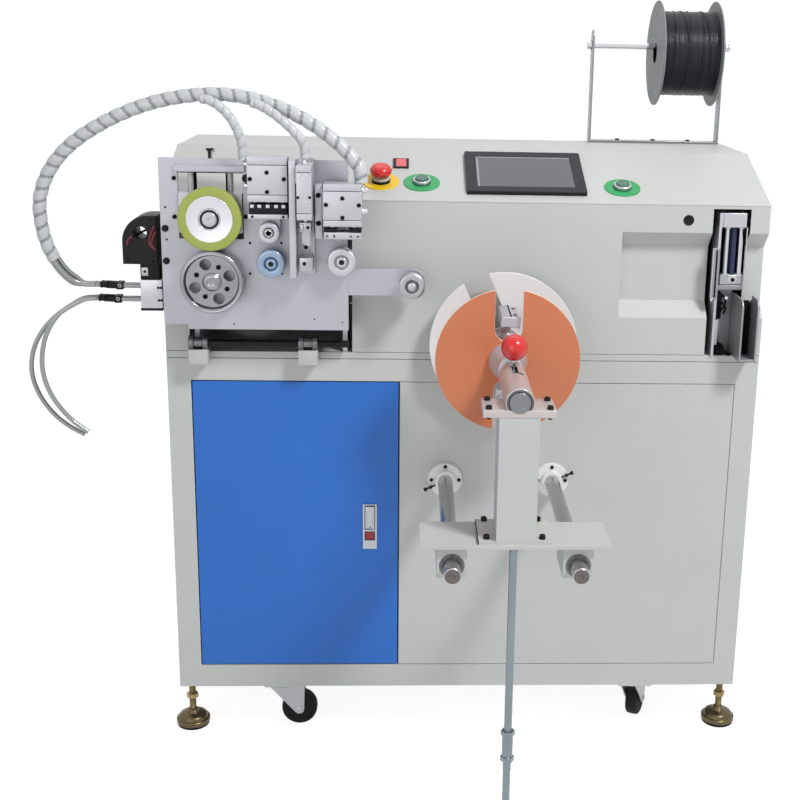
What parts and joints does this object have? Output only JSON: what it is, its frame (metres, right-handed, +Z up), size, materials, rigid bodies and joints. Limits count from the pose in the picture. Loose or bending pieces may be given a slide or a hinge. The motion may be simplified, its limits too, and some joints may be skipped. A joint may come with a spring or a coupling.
{
  "type": "cable stripping coiling machine",
  "caption": "Wheeled cabinet with a blue door, a sloped control housing, a cable feed and cutting head, a disc coil winder on a sliding tailstock, a tying head and a wire spool on top.",
  "frame": {"origin": "middle of the machine's footprint on the floor, hoses left out", "axes": "+X to the machine's right as seen from its front, +Y from the front to the back, +Z up"},
  "size_m": [1.2508, 0.897, 1.2958],
  "materials": {
    "painted_grey": "pale grey powder coat, fine orange peel",
    "painted_blue": "blue powder coat, satin",
    "aluminium": "machined and anodised, satin",
    "steel": "ground steel, satin",
    "chrome": "hard chrome, polished",
    "yellow_zinc": "yellow passivated zinc plating",
    "black_plastic": "black moulded plastic, fine texture",
    "black_rubber": "black rubber tread",
    "red_plastic": "red moulded plastic, gloss",
    "green_plastic": "green lens plastic, gloss",
    "orange_plastic": "orange laminate sheet, satin",
    "white_plastic": "white engineering plastic, satin",
    "tyre_green": "yellow-green polyurethane tyre",
    "blue_anodised": "blue-grey anodised, satin",
    "hose": "pneumatic tubing and spiral sleeve"
  },
  "bodies": {
    "machine": {"cabinet": "painted_grey", "housing": "painted_grey", "housing_cover": "painted_grey", "feed_plate": "aluminium", "press_cylinder": "aluminium", "cutter_channel": "aluminium", "clamp_cylinder": "aluminium", "head_mount": "painted_grey", "feed_motor": "black_plastic", "side_motor": "black_plastic", "valve_block": "aluminium", "rail_left": "steel", "rail_right": "steel", "winding_motor": "black_plastic", "spool_bracket": "painted_grey", "touch_screen": "black_plastic", "tying_frame": "aluminium", "levelling_foot_front_left": "yellow_zinc", "levelling_foot_front_right": "yellow_zinc", "levelling_foot_rear_left": "yellow_zinc", "levelling_foot_rear_right": "yellow_zinc", "hose_loom": "hose", "loom_branch_one": "hose", "loom_branch_two": "hose", "loose_hose_outer": "hose", "loose_hose_inner": "hose"},
    "door_leaf": {"door": "painted_blue"},
    "door_handle": {"latch_handle": "aluminium"},
    "door_button": {"latch_button": "red_plastic"},
    "caster_front_left": {"caster_fork_front_left": "steel"},
    "wheel_front_left": {"caster_wheel_front_left": "black_rubber"},
    "caster_front_right": {"caster_fork_front_right": "steel"},
    "wheel_front_right": {"caster_wheel_front_right": "black_rubber"},
    "caster_rear_left": {"caster_fork_rear_left": "steel"},
    "wheel_rear_left": {"caster_wheel_rear_left": "black_rubber"},
    "caster_rear_right": {"caster_fork_rear_right": "steel"},
    "wheel_rear_right": {"caster_wheel_rear_right": "black_rubber"},
    "lower_wheel": {"lower_feed_wheel": "steel"},
    "lift": {"wheel_carriage": "aluminium"},
    "upper_wheel": {"upper_feed_wheel": "tyre_green"},
    "press": {"press_slide": "aluminium"},
    "press_idler": {"press_roller": "aluminium"},
    "measuring": {"measuring_roller": "blue_anodised"},
    "cutter": {"cutter_slide": "steel"},
    "clamp": {"clamp_jaw": "steel"},
    "right_idler": {"right_roller": "aluminium"},
    "pulley": {"guide_pulley": "chrome"},
    "winder": {"rear_disc": "white_plastic"},
    "tailstock": {"carriage": "painted_grey", "spindle_barrel": "white_plastic", "support_leg": "chrome"},
    "spindle": {"quill": "steel", "knob": "red_plastic"},
    "outer_disc": {"front_disc": "orange_plastic"},
    "tie": {"tying_slide": "steel"},
    "spool": {"wire_spool": "black_plastic"},
    "estop": {"emergency_stop_button": "red_plastic"},
    "start": {"start_button": "green_plastic"},
    "reset": {"reset_button": "green_plastic"},
    "rocker": {"rocker_switch": "red_plastic"}
  },
  "joints": [
    {"name": "door_hinge", "type": "hinge", "parent": "machine", "child": "door_leaf", "pos_m": [-0.405, -0.03, 0.3955], "axis": [0, 0, -1], "range_deg": [0, 105]},
    {"name": "latch_handle_pivot", "type": "hinge", "parent": "door_leaf", "child": "door_handle", "pos_m": [-0.111, -0.0305, 0.431], "axis": [-1, 0, 0], "range_deg": [0, 25]},
    {"name": "latch_button_push", "type": "slide", "parent": "door_leaf", "child": "door_button", "axis": [0, 1, 0], "range_m": [0, 0.003], "stiffness_N_per_m": 300},
    {"name": "caster_swivel_front_left", "type": "hinge", "parent": "machine", "child": "caster_front_left", "pos_m": [-0.2695, -0.0035, 0.0845], "axis": [0, 0, 1], "continuous": true},
    {"name": "caster_roll_front_left", "type": "hinge", "parent": "caster_front_left", "child": "wheel_front_left", "pos_m": [-0.2395, -0.0035, 0.035], "axis": [0, 1, 0], "continuous": true},
    {"name": "caster_swivel_front_right", "type": "hinge", "parent": "machine", "child": "caster_front_right", "pos_m": [0.3705, -0.0035, 0.0845], "axis": [0, 0, 1], "continuous": true},
    {"name": "caster_roll_front_right", "type": "hinge", "parent": "caster_front_right", "child": "wheel_front_right", "pos_m": [0.38318, 0.02369, 0.035], "axis": [-0.9063, 0.4226, 0], "continuous": true},
    {"name": "caster_swivel_rear_left", "type": "hinge", "parent": "machine", "child": "caster_rear_left", "pos_m": [-0.2695, 0.3365, 0.0845], "axis": [0, 0, 1], "continuous": true},
    {"name": "caster_roll_rear_left", "type": "hinge", "parent": "caster_rear_left", "child": "wheel_rear_left", "pos_m": [-0.29769, 0.32624, 0.035], "axis": [0.342, -0.9397, 0], "continuous": true},
    {"name": "caster_swivel_rear_right", "type": "hinge", "parent": "machine", "child": "caster_rear_right", "pos_m": [0.3705, 0.3365, 0.0845], "axis": [0, 0, 1], "continuous": true},
    {"name": "caster_roll_rear_right", "type": "hinge", "parent": "caster_rear_right", "child": "wheel_rear_right", "pos_m": [0.34331, 0.34918, 0.035], "axis": [-0.4226, -0.9063, 0], "continuous": true},
    {"name": "lower_wheel_spin", "type": "hinge", "parent": "machine", "child": "lower_wheel", "pos_m": [-0.3595, -0.0915, 0.84], "axis": [0, -1, 0], "continuous": true},
    {"name": "wheel_lift", "type": "slide", "parent": "machine", "child": "lift", "axis": [0, 0, 1], "range_m": [0, 0.01]},
    {"name": "upper_wheel_spin", "type": "hinge", "parent": "lift", "child": "upper_wheel", "pos_m": [-0.3595, -0.0915, 0.9403], "axis": [0, -1, 0], "continuous": true},
    {"name": "press_stroke", "type": "slide", "parent": "machine", "child": "press", "axis": [0, 0, -1], "range_m": [0, 0.0095]},
    {"name": "press_roller_spin", "type": "hinge", "parent": "press", "child": "press_idler", "pos_m": [-0.2675, -0.0938, 0.9205], "axis": [0, -1, 0], "continuous": true},
    {"name": "measuring_roller_spin", "type": "hinge", "parent": "machine", "child": "measuring", "pos_m": [-0.265, -0.0938, 0.871], "axis": [0, -1, 0], "continuous": true},
    {"name": "cutter_stroke", "type": "slide", "parent": "machine", "child": "cutter", "axis": [0, 0, -1], "range_m": [0, 0.012]},
    {"name": "clamp_stroke", "type": "slide", "parent": "machine", "child": "clamp", "axis": [0, 0, -1], "range_m": [0, 0.002]},
    {"name": "right_roller_spin", "type": "hinge", "parent": "machine", "child": "right_idler", "pos_m": [-0.1535, -0.0938, 0.875], "axis": [0, -1, 0], "continuous": true},
    {"name": "guide_pulley_spin", "type": "hinge", "parent": "machine", "child": "pulley", "pos_m": [-0.0415, -0.0965, 0.8375], "axis": [0, -1, 0], "continuous": true},
    {"name": "rear_disc_spin", "type": "hinge", "parent": "machine", "child": "winder", "pos_m": [0.1105, -0.0635, 0.732], "axis": [0, -1, 0], "continuous": true},
    {"name": "tailstock_slide", "type": "slide", "parent": "machine", "child": "tailstock", "axis": [0, 1, 0], "range_m": [-0.03, 0.006]},
    {"name": "quill_pull", "type": "slide", "parent": "tailstock", "child": "spindle", "axis": [0, -1, 0], "range_m": [0, 0.038]},
    {"name": "front_disc_spin", "type": "hinge", "parent": "spindle", "child": "outer_disc", "pos_m": [0.1105, -0.1675, 0.732], "axis": [0, -1, 0], "continuous": true},
    {"name": "tying_stroke", "type": "slide", "parent": "machine", "child": "tie", "axis": [0, 0, 1], "range_m": [0, 0.07]},
    {"name": "spool_spin", "type": "hinge", "parent": "machine", "child": "spool", "pos_m": [0.4145, 0.3525, 1.1998], "axis": [1, 0, 0], "continuous": true},
    {"name": "emergency_stop_push", "type": "slide", "parent": "machine", "child": "estop", "axis": [0, 0.3534, -0.9355], "range_m": [0, 0.004]},
    {"name": "start_push", "type": "slide", "parent": "machine", "child": "start", "axis": [0, 0.3534, -0.9355], "range_m": [0, 0.003], "stiffness_N_per_m": 200},
    {"name": "reset_push", "type": "slide", "parent": "machine", "child": "reset", "axis": [0, 0.3534, -0.9355], "range_m": [0, 0.003], "stiffness_N_per_m": 200},
    {"name": "rocker_tilt", "type": "hinge", "parent": "machine", "child": "rocker", "pos_m": [-0.0615, 0.08905, 1.0113], "axis": [1, 0, 0], "range_deg": [0, 16]}
  ],
  "couplings": [
    {"joint": "upper_wheel_spin", "follows": "lower_wheel_spin", "ratio": -1},
    {"joint": "front_disc_spin", "follows": "rear_disc_spin", "ratio": 1}
  ]
}
